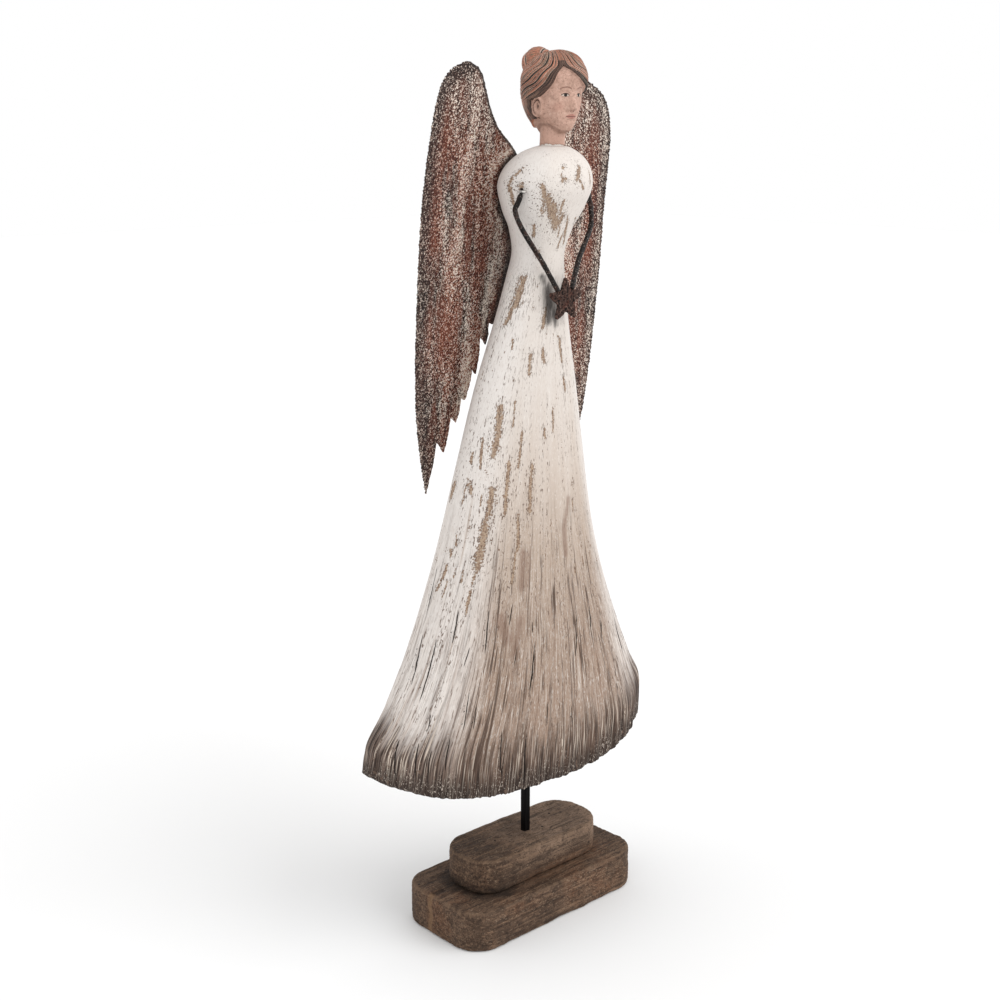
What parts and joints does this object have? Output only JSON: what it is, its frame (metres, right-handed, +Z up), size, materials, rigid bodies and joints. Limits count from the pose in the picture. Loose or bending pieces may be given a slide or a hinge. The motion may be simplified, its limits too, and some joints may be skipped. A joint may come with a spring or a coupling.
{
  "type": "statue",
  "caption": "Slender angel statue that stands free on a shelf: flared carved gown, sheet-metal wings and wire arms holding a star, on a square rod above a stepped wooden base.",
  "frame": {"origin": "centre of the flat underside of the lower base block", "axes": "+Z up, with the support rod standing 1 to 2 mm beside it, +X to the figure's own left along the base, the figure faces -Y"},
  "size_m": [0.3082, 0.112, 0.7322],
  "materials": {
    "base_wood": "dark reclaimed wood, dry and open-grained",
    "gown_paint": "matte off-white paint, flaked to the wood, greige below and brown at the hem",
    "head_paint": "matte painted clay, pink-tan skin and auburn hair with dark grooves",
    "wing_sheet": "gritty rust-brown texture with cream flecks on sheet steel",
    "rod_steel": "satin black paint on square bar",
    "arm_iron": "dark hammered iron, nearly black"
  },
  "bodies": {
    "root": {"lower_base_block": "base_wood", "upper_base_block": "base_wood", "support_rod": "rod_steel", "carved_gown": "gown_paint", "painted_head": "head_paint", "right_wing": "wing_sheet", "left_wing": "wing_sheet", "right_shoulder_eye": "arm_iron", "left_shoulder_eye": "arm_iron", "right_arm": "arm_iron", "left_arm": "arm_iron", "iron_star": "arm_iron"}
  },
  "joints": []
}
